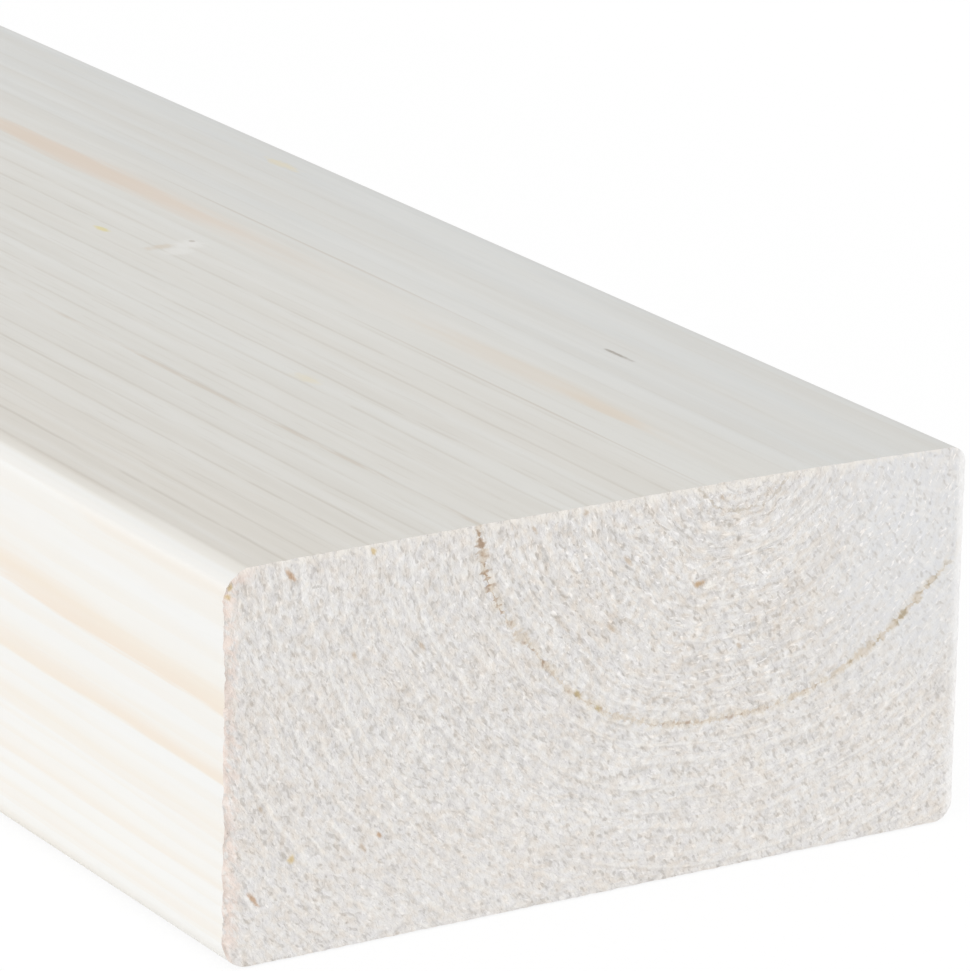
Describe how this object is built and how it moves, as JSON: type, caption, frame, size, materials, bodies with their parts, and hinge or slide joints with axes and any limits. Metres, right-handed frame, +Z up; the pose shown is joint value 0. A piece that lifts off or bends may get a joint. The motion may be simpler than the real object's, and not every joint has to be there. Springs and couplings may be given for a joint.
{
  "type": "timber plank",
  "caption": "Straight length of planed softwood with a rectangular section, eased long edges and square sawn ends, for studs, frames and general carpentry.",
  "frame": {"origin": "on the underside, midway along the length and across the width", "axes": "+X along the length, towards the end that the picture shows; +Y across the width; +Z up through the thickness"},
  "size_m": [2.4, 0.095, 0.045],
  "materials": {
    "spruce": "planed long faces, sawn ends, bare"
  },
  "bodies": {
    "root": {"plank": "spruce"}
  },
  "joints": []
}
